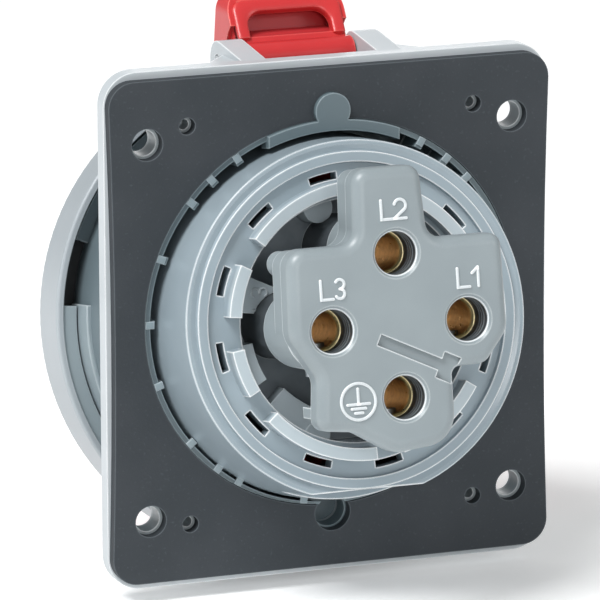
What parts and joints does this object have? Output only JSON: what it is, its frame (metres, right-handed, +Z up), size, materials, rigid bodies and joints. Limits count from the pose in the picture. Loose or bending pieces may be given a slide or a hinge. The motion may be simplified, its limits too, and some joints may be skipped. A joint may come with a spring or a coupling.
{
  "type": "industrial socket outlet",
  "caption": "Panel-mounting industrial power socket outlet with an inclined barrel, a bayonet locking ring and a red hinged lid.",
  "frame": {"origin": "centre of the four fixing holes, in the flange's rear face, which carries the gasket", "axes": "+Y from the plug side to the wiring side, square to the panel; +Z up; +X to the left as seen from the wiring side"},
  "size_m": [0.123, 0.112, 0.1482],
  "materials": {
    "light_grey_plastic": "satin moulded",
    "gasket_rubber": "matt",
    "blue_grey_plastic": "satin, slightly translucent",
    "seal_rubber": "matt",
    "dark_plastic": "satin moulded",
    "cover_plastic": "satin moulded",
    "brass": "turned",
    "bright_steel": "zinc plated",
    "spring_steel": "bright wire",
    "red_plastic": "glossy moulded"
  },
  "bodies": {
    "base": {"flange_housing": "light_grey_plastic", "collar": "light_grey_plastic", "panel_gasket": "gasket_rubber", "contact_housing": "blue_grey_plastic", "contact_shroud": "blue_grey_plastic", "housing_seal": "seal_rubber", "housing_screws": "bright_steel", "pin_plate": "dark_plastic", "contact_carrier": "dark_plastic", "terminal_block": "cover_plastic", "terminal_cover": "cover_plastic", "clamp_screws": "bright_steel", "contact_l2": "brass", "contact_l1": "brass", "contact_l3": "brass", "contact_earth": "brass", "terminal_sleeve_l2": "dark_plastic", "terminal_sleeve_l1": "dark_plastic", "terminal_sleeve_l3": "dark_plastic", "terminal_sleeve_earth": "dark_plastic", "sleeve_spring_l2": "spring_steel", "sleeve_spring_l1": "spring_steel", "sleeve_spring_l3": "spring_steel", "sleeve_spring_earth": "spring_steel", "hinge_pin": "bright_steel", "lid_spring": "spring_steel"},
    "lid": {"lid": "red_plastic", "lid_gasket": "seal_rubber"},
    "ring": {"locking_ring": "light_grey_plastic", "ring_retainer": "seal_rubber"}
  },
  "joints": [
    {"name": "lid_hinge", "type": "hinge", "parent": "base", "child": "lid", "pos_m": [0, -0.021, 0.0622], "axis": [-1, 0, 0], "range_deg": [0, 100], "stiffness_Nm_per_rad": 0.05, "springref_deg": -28.65},
    {"name": "ring_turn", "type": "hinge", "parent": "lid", "child": "ring", "pos_m": [0, 0.003, 0.0003], "axis": [0, 0.9848, 0.1736], "range_deg": [0, 50]}
  ]
}
